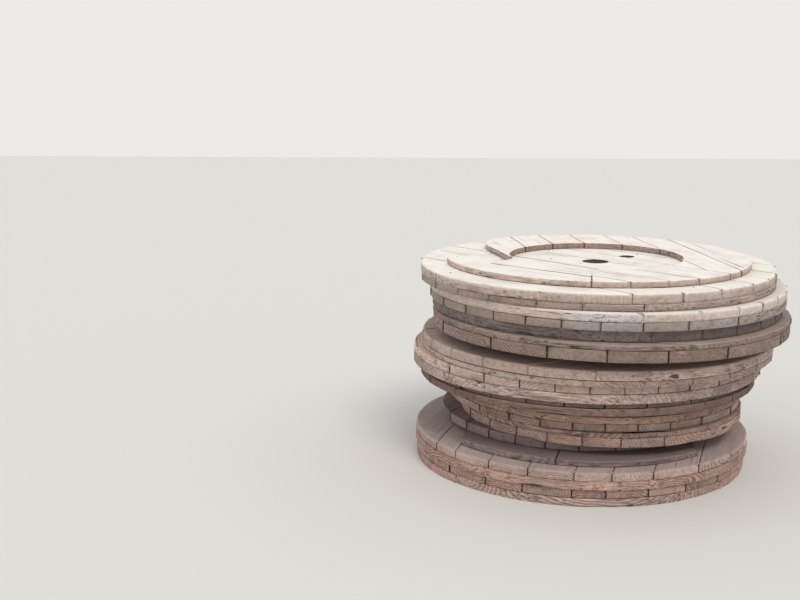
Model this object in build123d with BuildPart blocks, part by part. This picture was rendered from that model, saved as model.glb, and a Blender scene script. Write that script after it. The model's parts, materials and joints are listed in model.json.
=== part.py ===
from build123d import *
import math
import os
from typing import NamedTuple

os.makedirs("parts", exist_ok=True)

# A stack of round flanges taken off wooden cable drums, laid flat one on another.
# Each flange is nailed up from plies of parallel planks, every ply crossing the next,
# and some carry a thinner ring of planks that holds the ends of the drum's barrel staves.
# X is to the right and Y away, as the stack is seen from the front. Z is up from the floor.
# Millimetres and degrees.

# Holes through a flange, for the drum's spindle and for the pin that turns the drum
SPINDLE_RADIUS = 51.5
DRIVE_RADIUS = 31.0
DRIVE_OFFSET = 198.0
DRIVE_BEARING = 41.0

# The rims below the top flange, and the spindle holes that the stack covers, are drawn
# with flat sides, to keep their facets few
RIM_SIDES = 90
COVERED_HOLE_SIDES = 12

# Radius of the widest flanges, the open joint between two planks of a ply,
# and the narrowest strip left at a flange's rim
WIDEST_FLANGE = 700.0
JOINT = 4.0
RIM_STRIP = 60.0

# Worn edge along the rim at the very top of the stack, which the weather reaches first
WORN_EDGE = 6.0

# Ring of planks on a flange's inner face, and the round recess in it for the stave ends
RING_RADIUS = 604.5
RING_THICKNESS = 25.0
RECESS_RADIUS = 338.0

# Many-sided plain discs in the place of two rings that the stack hides
HIDDEN_RING_RADIUS = 500.0
HIDDEN_RING_SIDES = 24
HIDDEN_RING_8_THICKNESS = 28.0
HIDDEN_RING_5_THICKNESS = 43.0


class Line(NamedTuple):
    """Straight line in a flange's plane: its offset from the centre along a bearing."""

    offset: float
    bearing: float


# How far from the centre the inner edge of a ring's long outer plank runs
FRONT_CHORD = 445.0

# Top flange's ring: upright planks at the back and right, long slanted planks in front,
# and the gap of a lost plank on the left
UPRIGHT = 7.0
SLANTED = 44.0
FRONT_LEFT_SLANTED = 49.5
TOP_GAP_SIDE = Line(-345, 13)
TOP_GAP_TIP = Line(-38, 90)
TOP_BACK_JOINT = Line(47, UPRIGHT)
TOP_SLANT_JOINT = Line(13, SLANTED)
TOP_BUTT_JOINT = Line(-13, -9)
TOP_LEFT_CHORD = Line(-FRONT_CHORD, FRONT_LEFT_SLANTED)
TOP_SHORT_PLANK_END = Line(196, FRONT_LEFT_SLANTED + 90)
MIDDLE_ACROSS_SLANT = Line(0, FRONT_LEFT_SLANTED)
TOP_BACK_JOINTS = (-228, -92)
TOP_RIGHT_JOINTS = (196, 312, 440)
TOP_SLANTED_JOINTS = (-397, -280, -160)

# Ring of the flange next to the lowest: long planks in front, and planks lost on both sides
LOW_UPRIGHT = -14.0
LOW_LEFT_SLANTED = 49.0
LOW_FRONT_ACROSS = 94.0
LOW_LEFT_REACH = 402.0
LOW_RIGHT_REACH = 380.0
LOW_LEFT_END = Line(-LOW_LEFT_REACH, LOW_UPRIGHT)
LOW_RIGHT_END = Line(LOW_RIGHT_REACH, 0)
LOW_BUTT_JOINT = Line(-21, LOW_UPRIGHT)
LOW_LEFT_CHORD = Line(-FRONT_CHORD, LOW_LEFT_SLANTED)
LOW_FRONT_CHORD = Line(-FRONT_CHORD, LOW_FRONT_ACROSS)
LOW_BACK_LEFT_JOINTS = (-276, -150)
LOW_BACK_RIGHT_JOINTS = (102, 228, 354)


class Flange(NamedTuple):
    """Where a flange lies on the stack, and its radius."""

    x: float
    y: float
    radius: float


class Ply(NamedTuple):
    """Parallel planks: their thickness, the bearing across them and their joints' offsets."""

    thickness: float
    turn: float
    joints: tuple


def evenly(plank, first_joint):
    """Offsets of the joints between planks of one width, out to the widest flange's rim."""
    count = math.ceil(WIDEST_FLANGE / plank)
    return tuple(first_joint + plank * step for step in range(-count, count + 1))


# The flanges, numbered from the top of the stack down
FLANGE_1 = Flange(x=-13, y=-7, radius=WIDEST_FLANGE)
FLANGE_2 = Flange(x=25, y=-23, radius=WIDEST_FLANGE)
FLANGE_3 = Flange(x=25, y=-16, radius=688)
FLANGE_4 = Flange(x=38, y=-48, radius=WIDEST_FLANGE)
FLANGE_5 = Flange(x=-2, y=18, radius=WIDEST_FLANGE)
FLANGE_6 = Flange(x=-38, y=48, radius=WIDEST_FLANGE)
FLANGE_7 = Flange(x=-38, y=20, radius=670)
FLANGE_8 = Flange(x=0, y=35, radius=588)
FLANGE_9 = Flange(x=19, y=-4, radius=563)
FLANGE_10 = Flange(x=-62, y=54, radius=554)
FLANGE_11 = Flange(x=-59, y=-3, radius=669)
FLANGE_12 = Flange(x=-62, y=-4, radius=660)

# Their plies. The joints show on the rims, so each ply has its own planks.
PLY_1_UPPER = Ply(thickness=40, turn=42, joints=(-450, -296, -140, 38, 175, 297, 454))
PLY_1_LOWER = Ply(thickness=25, turn=-45, joints=(-580, -430, -270, -115, 40, 230, 376, 535))
PLY_2_UPPER = Ply(thickness=36, turn=63, joints=evenly(131, 42))
PLY_2_LOWER = Ply(thickness=32, turn=-27, joints=evenly(134, 66))
PLY_3 = Ply(thickness=41, turn=55, joints=evenly(140, 30))
PLY_4_UPPER = Ply(thickness=22, turn=80, joints=evenly(130, 20))
PLY_4_LOWER = Ply(thickness=43, turn=-10, joints=evenly(208, 4))
PLY_5_UPPER = Ply(thickness=38, turn=-63, joints=evenly(173, 48))
PLY_5_LOWER = Ply(thickness=23, turn=33, joints=evenly(173, 24))
PLY_6_UPPER = Ply(thickness=33, turn=0, joints=evenly(122, 42))
PLY_6_LOWER = Ply(thickness=37, turn=70, joints=evenly(131, 104))
PLY_7_UPPER = Ply(thickness=18, turn=-20, joints=evenly(140, 60))
PLY_7_LOWER = Ply(thickness=28, turn=70, joints=evenly(140, 10))
PLY_8_UPPER = Ply(thickness=29, turn=81, joints=evenly(130, 25))
PLY_8_LOWER = Ply(thickness=29, turn=-9, joints=evenly(119, 48))
PLY_9_UPPER = Ply(thickness=19, turn=60, joints=evenly(130, 40))
PLY_9_LOWER = Ply(thickness=36, turn=-30, joints=evenly(130, 15))
PLY_10 = Ply(thickness=35, turn=-30, joints=evenly(119, 96))
PLY_11_UPPER = Ply(thickness=33, turn=-18, joints=(-466, -371, -224, -70, 98, 229, 368, 515))
PLY_11_LOWER = Ply(thickness=34, turn=72, joints=evenly(146, 40))
PLY_12_UPPER = Ply(thickness=32, turn=-3, joints=(-520, -385, -253, -78, 44, 200, 344, 480))
PLY_12_LOWER = Ply(thickness=32, turn=87, joints=evenly(146, 10))

# The thin ply of flange 7 is set back a little from the rim of the ply below it
FLANGE_7_SET_BACK = 9.0


def seat(flange, level, turn=0.0):
    """Plane on a flange's centre at a height, with its X axis turned across the planks."""
    bearing = math.radians(turn)
    return Plane(
        origin=(flange.x, flange.y, level),
        x_dir=(math.cos(bearing), math.sin(bearing), 0),
        z_dir=(0, 0, 1),
    )


def along(offset, bearing):
    """Place at an offset from the centre along a bearing, turned to it."""
    angle = math.radians(bearing)
    return Location((offset * math.cos(angle), offset * math.sin(angle)), bearing)


def finish(part, name):
    """Label a finished sub-part and write it out."""
    part.label = name
    export_step(part, f"parts/{name}.step")


def plank_ply(name, flange, ply, level, set_back=0.0, top=False, worn=False):
    """One ply of a flange, its planks sawn to a round and bored. Returns its top's height."""
    radius = flange.radius - set_back
    joints = [(offset, 0) for offset in ply.joints if abs(offset) <= radius - RIM_STRIP]
    with BuildPart() as planks:
        with BuildSketch(seat(flange, level, ply.turn)):
            if top:
                Circle(radius)
            else:
                RegularPolygon(radius, RIM_SIDES)
            with Locations(*joints):
                Rectangle(JOINT, 2 * radius, mode=Mode.SUBTRACT)
            if top:
                Circle(SPINDLE_RADIUS, mode=Mode.SUBTRACT)
                with Locations(along(DRIVE_OFFSET, DRIVE_BEARING - ply.turn)):
                    Circle(DRIVE_RADIUS, mode=Mode.SUBTRACT)
            else:
                RegularPolygon(SPINDLE_RADIUS, COVERED_HOLE_SIDES, mode=Mode.SUBTRACT)
        extrude(amount=ply.thickness)
        if worn:
            top_arcs = planks.edges().filter_by(GeomType.CIRCLE).group_by(Axis.Z)[-1]
            chamfer(top_arcs.filter_by(lambda arc: arc.radius > radius / 2), length=WORN_EDGE)
    finish(planks.part, name)
    return level + ply.thickness


def hidden_ring(name, flange, thickness, level):
    """Plain bored disc in the place of a ring that nothing shows. Returns its top's height."""
    with BuildPart() as disc:
        with BuildSketch(seat(flange, level)):
            RegularPolygon(HIDDEN_RING_RADIUS, HIDDEN_RING_SIDES)
            RegularPolygon(SPINDLE_RADIUS, COVERED_HOLE_SIDES, mode=Mode.SUBTRACT)
        extrude(amount=thickness)
    finish(disc.part, name)
    return level + thickness


def ring_planks(flange, level, past=(), short_of=(), joints=()):
    """Outlines of a ring's planks past some lines and short of others, parted by joints."""
    size = 4 * RING_RADIUS
    with BuildSketch(seat(flange, level)) as planks:
        Circle(RING_RADIUS)
        Circle(RECESS_RADIUS, mode=Mode.SUBTRACT)
        for line in past:
            with Locations(along(line.offset + JOINT / 2 - size / 2, line.bearing)):
                Rectangle(size, size, mode=Mode.SUBTRACT)
        for line in short_of:
            with Locations(along(line.offset - JOINT / 2 + size / 2, line.bearing)):
                Rectangle(size, size, mode=Mode.SUBTRACT)
        for line in joints:
            with Locations(along(line.offset, line.bearing)):
                Rectangle(JOINT, size, mode=Mode.SUBTRACT)
    return planks.sketch


def barrel_ring(name, outlines, level):
    """Ring cut to its thickness from its planks' outlines. Returns its top's height."""
    with BuildPart() as ring:
        for outline in outlines:
            extrude(outline, amount=RING_THICKNESS)
    finish(ring.part, name)
    return level + RING_THICKNESS


def low_ring(name, flange, level):
    """Ring of the flange next to the lowest. Returns its top's height."""
    back_left = ring_planks(
        flange,
        level,
        past=[LOW_LEFT_END, LOW_LEFT_CHORD],
        short_of=[LOW_BUTT_JOINT],
        joints=[Line(offset, LOW_UPRIGHT) for offset in LOW_BACK_LEFT_JOINTS],
    )
    back_right = ring_planks(
        flange,
        level,
        past=[LOW_BUTT_JOINT, LOW_FRONT_CHORD],
        short_of=[LOW_RIGHT_END],
        joints=[Line(offset, LOW_UPRIGHT) for offset in LOW_BACK_RIGHT_JOINTS],
    )
    front_left = ring_planks(
        flange, level, past=[LOW_LEFT_END], short_of=[LOW_LEFT_CHORD, LOW_BUTT_JOINT]
    )
    front = ring_planks(
        flange, level, past=[LOW_BUTT_JOINT], short_of=[LOW_FRONT_CHORD, LOW_RIGHT_END]
    )
    return barrel_ring(name, [back_left, back_right, front_left, front], level)


def top_ring(name, flange, level):
    """Ring of the top flange. Returns its top's height."""
    back = ring_planks(
        flange,
        level,
        past=[TOP_GAP_SIDE, TOP_GAP_TIP],
        short_of=[TOP_BACK_JOINT],
        joints=[Line(offset, UPRIGHT) for offset in TOP_BACK_JOINTS],
    )
    right = ring_planks(
        flange,
        level,
        past=[TOP_BACK_JOINT, TOP_SLANT_JOINT],
        joints=[Line(offset, UPRIGHT) for offset in TOP_RIGHT_JOINTS],
    )
    front_right = ring_planks(
        flange,
        level,
        past=[TOP_BUTT_JOINT],
        short_of=[TOP_SLANT_JOINT],
        joints=[Line(offset, SLANTED) for offset in TOP_SLANTED_JOINTS],
    )
    short_left = ring_planks(
        flange,
        level,
        past=[TOP_LEFT_CHORD],
        short_of=[TOP_BUTT_JOINT, TOP_SHORT_PLANK_END, MIDDLE_ACROSS_SLANT],
    )
    long_left = ring_planks(flange, level, short_of=[TOP_LEFT_CHORD, TOP_BUTT_JOINT])
    return barrel_ring(name, [back, right, front_right, short_left, long_left], level)


# The stack from the floor up: each ply lies on the one before it
level = 0.0
level = plank_ply("flange_12_lower_planks", FLANGE_12, PLY_12_LOWER, level)
level = plank_ply("flange_12_upper_planks", FLANGE_12, PLY_12_UPPER, level)
level = plank_ply("flange_11_lower_planks", FLANGE_11, PLY_11_LOWER, level)
level = plank_ply("flange_11_upper_planks", FLANGE_11, PLY_11_UPPER, level)
level = low_ring("flange_11_barrel_ring", FLANGE_11, level)
level = plank_ply("flange_10_planks", FLANGE_10, PLY_10, level)
level = plank_ply("flange_9_lower_planks", FLANGE_9, PLY_9_LOWER, level)
level = plank_ply("flange_9_upper_planks", FLANGE_9, PLY_9_UPPER, level)
level = plank_ply("flange_8_lower_planks", FLANGE_8, PLY_8_LOWER, level)
level = plank_ply("flange_8_upper_planks", FLANGE_8, PLY_8_UPPER, level)
level = hidden_ring("flange_8_hidden_ring", FLANGE_8, HIDDEN_RING_8_THICKNESS, level)
level = plank_ply("flange_7_lower_planks", FLANGE_7, PLY_7_LOWER, level)
level = plank_ply("flange_7_upper_planks", FLANGE_7, PLY_7_UPPER, level, FLANGE_7_SET_BACK)
level = plank_ply("flange_6_lower_planks", FLANGE_6, PLY_6_LOWER, level)
level = plank_ply("flange_6_upper_planks", FLANGE_6, PLY_6_UPPER, level)
level = plank_ply("flange_5_lower_planks", FLANGE_5, PLY_5_LOWER, level)
level = plank_ply("flange_5_upper_planks", FLANGE_5, PLY_5_UPPER, level)
level = hidden_ring("flange_5_hidden_ring", FLANGE_5, HIDDEN_RING_5_THICKNESS, level)
level = plank_ply("flange_4_lower_planks", FLANGE_4, PLY_4_LOWER, level)
level = plank_ply("flange_4_upper_planks", FLANGE_4, PLY_4_UPPER, level)
level = plank_ply("flange_3_planks", FLANGE_3, PLY_3, level)
level = plank_ply("flange_2_lower_planks", FLANGE_2, PLY_2_LOWER, level)
level = plank_ply("flange_2_upper_planks", FLANGE_2, PLY_2_UPPER, level)
level = plank_ply("flange_1_lower_planks", FLANGE_1, PLY_1_LOWER, level, top=True)
level = plank_ply("flange_1_upper_planks", FLANGE_1, PLY_1_UPPER, level, top=True, worn=True)
level = top_ring("flange_1_barrel_ring", FLANGE_1, level)
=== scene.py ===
import json
import math
import random
from functools import partial
from typing import NamedTuple

import bpy
import numpy as np
from mathutils import Euler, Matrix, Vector, noise
from mathutils.geometry import tessellate_polygon


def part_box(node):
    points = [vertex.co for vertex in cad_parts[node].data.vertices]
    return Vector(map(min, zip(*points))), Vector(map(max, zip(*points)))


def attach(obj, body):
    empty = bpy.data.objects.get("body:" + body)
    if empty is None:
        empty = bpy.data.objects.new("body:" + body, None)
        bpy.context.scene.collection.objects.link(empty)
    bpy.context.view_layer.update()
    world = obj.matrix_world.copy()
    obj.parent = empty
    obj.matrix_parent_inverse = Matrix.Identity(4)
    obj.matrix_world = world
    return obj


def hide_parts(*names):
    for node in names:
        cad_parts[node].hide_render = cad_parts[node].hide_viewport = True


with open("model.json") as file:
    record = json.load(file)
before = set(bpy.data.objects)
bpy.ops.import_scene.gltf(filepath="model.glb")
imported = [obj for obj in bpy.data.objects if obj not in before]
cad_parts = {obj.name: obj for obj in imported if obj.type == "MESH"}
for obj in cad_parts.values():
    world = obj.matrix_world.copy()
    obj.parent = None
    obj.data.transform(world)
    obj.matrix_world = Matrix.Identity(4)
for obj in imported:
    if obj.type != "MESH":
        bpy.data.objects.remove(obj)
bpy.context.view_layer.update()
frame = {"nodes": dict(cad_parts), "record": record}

bl_info = {
    "name": "Stack of wooden drum flanges",
    "version": (1, 0, 0),
    "blender": (4, 5, 0),
    "location": "3D View > Sidebar > Drum flanges",
    "description": "Weathered plank flanges of cable drums, laid flat in a stack",
    "category": "Add Mesh",
}

SEED = 12
MM = 0.001
FINISHES = {}  # filled by the operator that makes the materials


class Look(NamedTuple):
    """How one ply or ring has weathered, and whether shade is painted round its holes."""

    finish: str
    tone: float = 1.0  # lighter or darker than its finish
    dust: float = 0.3  # how much dust lies on its upper face
    worn: float = 2.5  # how far the rim's top edge is worn round, in millimetres
    chips: float = 3.0  # how deep the rim is splintered, in millimetres
    gaps: float = 0.5  # how far the planks have shrunk from one another, in millimetres
    rings: float = 0.95  # how strongly the growth rings show
    # painted shade: the flange on it shades its top round its own holes, so that top is painted dark and left
    # without dust
    shaded: bool = False  # seen only down the holes of the flange on it, so it is dark round its own


# Every ply of planks and every ring, from the floor up
LOOKS = {
    "flange_12_lower_planks": Look("brown", tone=1.38, worn=1.5, gaps=1.2),
    "flange_12_upper_planks": Look("brown", tone=1.18, dust=0.4, worn=3),
    "flange_11_lower_planks": Look("brown", tone=1.2, worn=1.5),
    "flange_11_upper_planks": Look("brown", tone=1.4, dust=0.9, worn=9, gaps=2.2),
    "flange_11_barrel_ring": Look("mauve", tone=0.95, dust=0.95, worn=4, gaps=1.8),
    "flange_10_planks": Look("mauve", tone=0.95, gaps=1.4, rings=0.3),
    "flange_9_lower_planks": Look("brown", tone=1.12, chips=5, gaps=0.2),
    "flange_9_upper_planks": Look("brown", tone=0.95, chips=6, worn=1.5),
    "flange_8_lower_planks": Look("brown", tone=1.12, worn=1.5, gaps=0.15),
    "flange_8_upper_planks": Look("brown", tone=1.05, rings=0.8),
    "flange_7_lower_planks": Look("brown", tone=0.46),
    "flange_7_upper_planks": Look("brown", tone=0.44, worn=2, chips=4),
    "flange_6_lower_planks": Look("grey", tone=1.22, worn=1.5, chips=4, gaps=0.15),
    "flange_6_upper_planks": Look("grey", tone=1.42, dust=0.7, worn=6),
    "flange_5_lower_planks": Look("grey", tone=1.15, worn=1.2, gaps=0.15),
    "flange_5_upper_planks": Look("grey", tone=1.38, dust=0.75, worn=7, rings=0.45),
    "flange_4_lower_planks": Look("grey", tone=0.72, worn=1.5, gaps=2.0, rings=1.3),
    "flange_4_upper_planks": Look("grey", tone=0.62, dust=0.5, chips=5),
    "flange_3_planks": Look("dark", tone=1.1, dust=0.4, worn=4, chips=7, rings=0.4),
    "flange_2_lower_planks": Look("whitish", tone=0.58, dust=0.2, worn=1.5, gaps=1.4, rings=0.3),
    # its top round the holes carries painted shade from the flange that lies on it
    "flange_2_upper_planks": Look("whitish", tone=1.05, dust=0.9, worn=9, gaps=0.8, rings=0.3, shaded=True),
    "flange_1_lower_planks": Look("pale", tone=0.74, dust=0.5, worn=1.5, chips=5, gaps=1.2),
    "flange_1_upper_planks": Look("pale", tone=1.04, dust=1.0, worn=9, gaps=2.2, rings=0.45),
    "flange_1_barrel_ring": Look("pale", tone=0.98, dust=1.0, worn=4, gaps=1.8, rings=0.45),
}
TOP_RING = "flange_1_barrel_ring"
# Corner of a ring's plank that is broken off: its place, and how far it is gone along each edge
BROKEN_CORNERS = {TOP_RING: ((-0.458, 0.355), 0.11)}
# Centre and radius of the spindle hole and of the drive hole
BORES = [
    (np.array(mount["pos_m"][:2]), mount["dims"]["r_mm"] * MM)
    for mount in frame["record"]["mounts"]
    if mount["kind"] == "bore"
]
# Plies whose nails show: the other upper faces are covered, or dusted over
NAILED = ("flange_1_upper_planks", "flange_6_upper_planks")
NAIL_IN_FROM_RIM, NAIL_IN_FROM_JOINT, NAIL_TRIED_EVERY = 34 * MM, 12 * MM, 6 * MM


def linear(code):
    """Linear red, green, blue and alpha of an sRGB hex colour."""
    parts = [int(code[i : i + 2], 16) / 255 for i in (1, 3, 5)]
    return tuple(c / 12.92 if c <= 0.04045 else ((c + 0.055) / 1.055) ** 2.4 for c in parts) + (1.0,)


# Sizes and colours that a user would change


def length_prop(name, description, default):
    """A size in metres that a user may change."""
    return bpy.props.FloatProperty(name=name, description=description, default=default, unit="LENGTH")


def share_prop(name, description, default):
    """A share between none and all."""
    return bpy.props.FloatProperty(
        name=name, description=description, default=default, subtype="FACTOR", min=0, max=1
    )


def colour_prop(name, description, code):
    """A colour, given as its sRGB hex value."""
    return bpy.props.FloatVectorProperty(
        name=name, description=description, default=linear(code)[:3], subtype="COLOR"
    )


class StackSizes(bpy.types.PropertyGroup):
    """Sizes of the planks' finish and of the nails."""

    rim_step: length_prop("Rim step", "Distance between points along a rim", 0.009)
    joint_step: length_prop("Joint step", "Distance between points along a joint", 0.03)
    joint_edge: length_prop("Joint edge", "How far a plank's edge is rounded at a joint", 0.0009)
    set_back: length_prop("Set back", "Most that one plank's end lies back from the rim", 0.003)
    sag: length_prop("Shrinkage", "Most that a plank's top lies below its ply's top", 0.0016)
    nail_spacing: length_prop("Nail spacing", "Distance between nails along a row", 0.13)
    nail_radius: length_prop("Nail head radius", "Radius of a nail's head", 0.0038)
    nails_lost: share_prop("Nails lost", "Share of the nails that don't show", 0.6)
    board_width: length_prop("Hidden board width", "Width of the boards of a hidden ring", 0.13)


class StackColours(bpy.types.PropertyGroup):
    """Colours of the woods, and how much the yard has left on them."""

    pale: colour_prop("Sun-bleached pine", "Colour of the top flange", "#cfb2a1")
    whitish: colour_prop("Whitish pine", "Colour of the second flange", "#dbc5b6")
    grey: colour_prop("Rain-greyed pine", "Colour of the fourth to sixth flanges", "#c6a897")
    brown: colour_prop("Sheltered pine", "Colour of the lower flanges", "#c7a08b")
    mauve: colour_prop("Shaded pine", "Colour of the lowest ring and the flange on it", "#a38983")
    dark: colour_prop("Damp pine", "Colour of the third flange and the hidden rings", "#8a7870")
    dust: share_prop("Dust", "How much pale dust lies on upper faces", 0.97)
    stains: share_prop("Stains", "How dark the damp stains are", 0.45)


def linked(name, data):
    """A new object in the scene."""
    made = bpy.data.objects.new(name, data)
    bpy.context.scene.collection.objects.link(made)
    return made


# Planks, each made from its solid's outline


def merged(node):
    """A CAD node's points, merged, and its triangles."""
    mesh = frame["nodes"][node].data
    points = np.zeros(len(mesh.vertices) * 3)
    mesh.vertices.foreach_get("co", points)
    points = points.reshape(-1, 3)
    mesh.calc_loop_triangles()
    triangles = np.zeros(len(mesh.loop_triangles) * 3, int)
    mesh.loop_triangles.foreach_get("vertices", triangles)
    unique, index = np.unique(np.round(points, 5), axis=0, return_inverse=True)
    return unique, index.reshape(-1)[triangles].reshape(-1, 3)


def area(loop):
    """Area inside a loop, below nought where the loop runs clockwise."""
    x, y = loop[:, 0], loop[:, 1]
    return 0.5 * float(np.sum(x * np.roll(y, -1) - np.roll(x, -1) * y))


def bodies_in(triangles, count):
    """The triangles of each separate plank, found by the lowest of its points' numbers."""
    lowest = np.arange(count)
    before = None
    while before is None or (lowest != before).any():
        before = lowest.copy()
        np.minimum.at(lowest, triangles, lowest[triangles].min(axis=1)[:, None])
    owners = lowest[triangles[:, 0]]
    return [triangles[owners == owner] for owner in np.unique(owners)]


def outlines_of(node):
    """Outline loops of each plank of a CAD node, with its lowest and highest level."""
    points, triangles = merged(node)
    planks = []
    for group in bodies_in(triangles, len(points)):
        heights = points[np.unique(group), 2]
        low, high = heights.min(), heights.max()
        edges = set()
        for a, b, c in group:
            if (points[[a, b, c], 2] > low + 1e-5).any():
                continue
            for start, end in ((a, b), (b, c), (c, a)):
                if (end, start) in edges:
                    edges.remove((end, start))
                else:
                    edges.add((start, end))
        follow = {end: start for start, end in sorted(edges)}
        loops = []
        while follow:
            start = next(iter(follow))
            loop = [start]
            here = follow.pop(start)
            while here != start:
                loop.append(here)
                here = follow.pop(here)
            loops.append(points[loop, :2])
        loops.sort(key=lambda loop: -abs(area(loop)))
        planks.append((loops, low, high))
    planks.sort(key=lambda plank: tuple(np.round(plank[0][0].mean(axis=0), 3)))
    return planks


def resampled(loop, centre, radii, rim_step, joint_step):
    """Loop with points at even steps, its arcs true to their circles, and each edge's kind."""
    rows = []
    for i in range(len(loop)):
        a, b = loop[i], loop[(i + 1) % len(loop)]
        length = math.dist(a, b)
        if length < 1e-4:
            continue
        on_rim, radius = 0, 0.0
        for r in radii:
            near = max(abs(math.dist(a, centre) - r), abs(math.dist(b, centre) - r))
            if near < 1.5 * MM and length < 0.06:
                on_rim, radius = 1, r
        if on_rim or length < 0.16:
            parts = max(1, round(length / (rim_step if on_rim else 0.012)))
            shares = np.arange(parts) / parts
        else:
            # close points near the rim, where the joint gapes, and wider ones between
            near = np.array([0.0, 0.012, 0.024, 0.038, 0.054]) / length
            parts = max(1, round((length - 0.14) / joint_step))
            middle = np.linspace(0.07 / length, 1 - 0.07 / length, parts + 1)
            shares = np.concatenate([near, middle, 1 - near[:0:-1]])
        for k, share in enumerate(shares):
            spot = a + (b - a) * share
            if on_rim and k:
                spot = centre + (spot - centre) * radius / math.dist(spot, centre)
            rows.append((spot[0], spot[1], on_rim))
    rows = np.array(rows)
    return rows[:, :2], rows[:, 2].astype(int)


def corner_broken(points, kinds, corner, reach):
    """Loop with one corner broken off along a curve."""
    near = np.hypot(*(points - corner).T)
    at = int(near.argmin())
    if near[at] > 0.02:
        return points, kinds
    points, kinds = np.roll(points, -at, axis=0), np.roll(kinds, -at)
    away = np.hypot(*(points - points[0]).T)
    kept = np.flatnonzero(away > reach)
    first, last = kept[0], kept[-1]
    share = np.linspace(0, 1, 14)[1:-1, None]
    curve = points[last] * (1 - share) ** 2 + points[0] * 2 * share * (1 - share) + points[first] * share**2
    points = np.vstack([points[first : last + 1], curve])
    kinds = np.concatenate([kinds[first : last + 1], np.ones(len(curve), int)])
    kinds[last - first] = 1
    return points, kinds


def corners_eased(points, kinds, worn, rng):
    """Loop whose sharp corners are worn off by a few millimetres, each differently."""
    out, out_kinds = [], []
    count = len(points)
    for i in range(count):
        p, before, after = points[i], points[i - 1], points[(i + 1) % count]
        a, b = before - p, after - p
        before_length, after_length = math.dist(before, p), math.dist(after, p)
        turn = math.acos(max(-1.0, min(1.0, float(a @ b) / (before_length * after_length))))
        if turn > math.radians(150):
            out.append(p)
            out_kinds.append(kinds[i])
            continue
        reach = worn * MM * (0.2 + 1.3 * rng.random() ** 3)
        cut_before = min(reach, before_length * 0.8)
        cut_after = min(reach * rng.uniform(0.7, 1.3), after_length * 0.8)
        start, end = p + a / before_length * cut_before, p + b / after_length * cut_after
        out += [start, p * 0.45 + (start + end) * 0.275, end]
        out_kinds += [kinds[i - 1], kinds[i], kinds[i]]
    return np.array(out), np.array(out_kinds)


def inward(points, widths):
    """Steps inward at each point by the width of the edges beside it."""
    after = np.roll(points, -1, axis=0) - points
    after /= np.linalg.norm(after, axis=1)[:, None]
    n_after = np.stack([-after[:, 1], after[:, 0]], axis=1)
    n_before = np.roll(n_after, 1, axis=0)
    w_after, w_before = widths[:, None], np.roll(widths, 1)[:, None]
    turn = np.sum(n_after * n_before, axis=1)[:, None]
    straight = 1 - turn**2 < 0.05
    mitre = n_before * (w_before - w_after * turn) + n_after * (w_after - w_before * turn)
    mitre /= np.where(straight, 1.0, 1 - turn**2)
    step = np.where(straight, (n_before * w_before + n_after * w_after) / 2, mitre)
    length = np.linalg.norm(step, axis=1)[:, None]
    most = 1.6 * np.maximum(w_before, w_after)
    return step * np.minimum(1.0, most / np.maximum(length, 1e-9))


def spread(x, y, z):
    """Smooth noise between 0 and 1."""
    return noise.noise(Vector((x, y, z))) * 0.5 + 0.5


def longest_direction(loop):
    """Direction of a plank's grain: along its longest straight edge."""
    steps = np.roll(loop, -1, axis=0) - loop
    lengths = np.linalg.norm(steps, axis=1)
    direction = steps[lengths.argmax()] / lengths.max()
    return direction if direction[0] > 0 or direction[0] == 0 and direction[1] > 0 else -direction


def ply_direction(planks):
    """Direction of a ply's grain: that of its largest plank."""
    return longest_direction(max((loops[0] for loops, _, _ in planks), key=lambda loop: abs(area(loop))))


class Wood:
    """Mesh that planks are added to, with the figures that the wood's pattern follows."""

    def __init__(self):
        self.points, self.faces, self.count = [], [], 0
        self.figures = {"grain": [], "plank": [], "end_grain": [], "dust": []}

    def add(self, points, faces, **figures):
        """Add one plank, with a figure or a vector of each kind at every point."""
        self.faces += [tuple(i + self.count for i in face) for face in faces]
        self.points.append(points)
        self.count += len(points)
        for title, rows in figures.items():
            self.figures[title].append(rows)

    def made(self, name, material):
        """One object of all the planks added."""
        mesh = bpy.data.meshes.new(name)
        mesh.from_pydata([tuple(p) for p in np.vstack(self.points)], [], self.faces)
        mesh.validate()
        for title, rows in self.figures.items():
            kind, field = ("FLOAT_VECTOR", "vector") if rows[0].ndim == 2 else ("FLOAT", "value")
            mesh.attributes.new(title, kind, "POINT").data.foreach_set(field, np.concatenate(rows).ravel())
        mesh.shade_smooth()
        mesh.set_sharp_from_angle(angle=math.radians(38))
        mesh.materials.append(material)
        return linked(name, mesh)


def edge_levels(low, high, top_edge, base_edge):
    """Heights up a plank's side, each with the share of the edge that it lies inside.

    The top edge is a quarter circle at 0, 30, 60 and 90 degrees: 0.134 is what the cosine of 30 leaves of 1.
    """
    body = (high - top_edge) - (low + base_edge)
    base_share = base_edge / np.maximum(top_edge, 1e-9)
    none = 0 * top_edge
    return [
        (low + none, base_share),
        (low + base_edge * 0.3, 0.3 * base_share),
        (low + base_edge, none),
        (low + base_edge + body * 0.33, none),
        (low + base_edge + body * 0.67, none),
        (high - top_edge, none),
        (high - 0.5 * top_edge, none + 0.134),
        (high - 0.134 * top_edge, none + 0.5),
        (high + none, none + 1.0),
    ]


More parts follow.
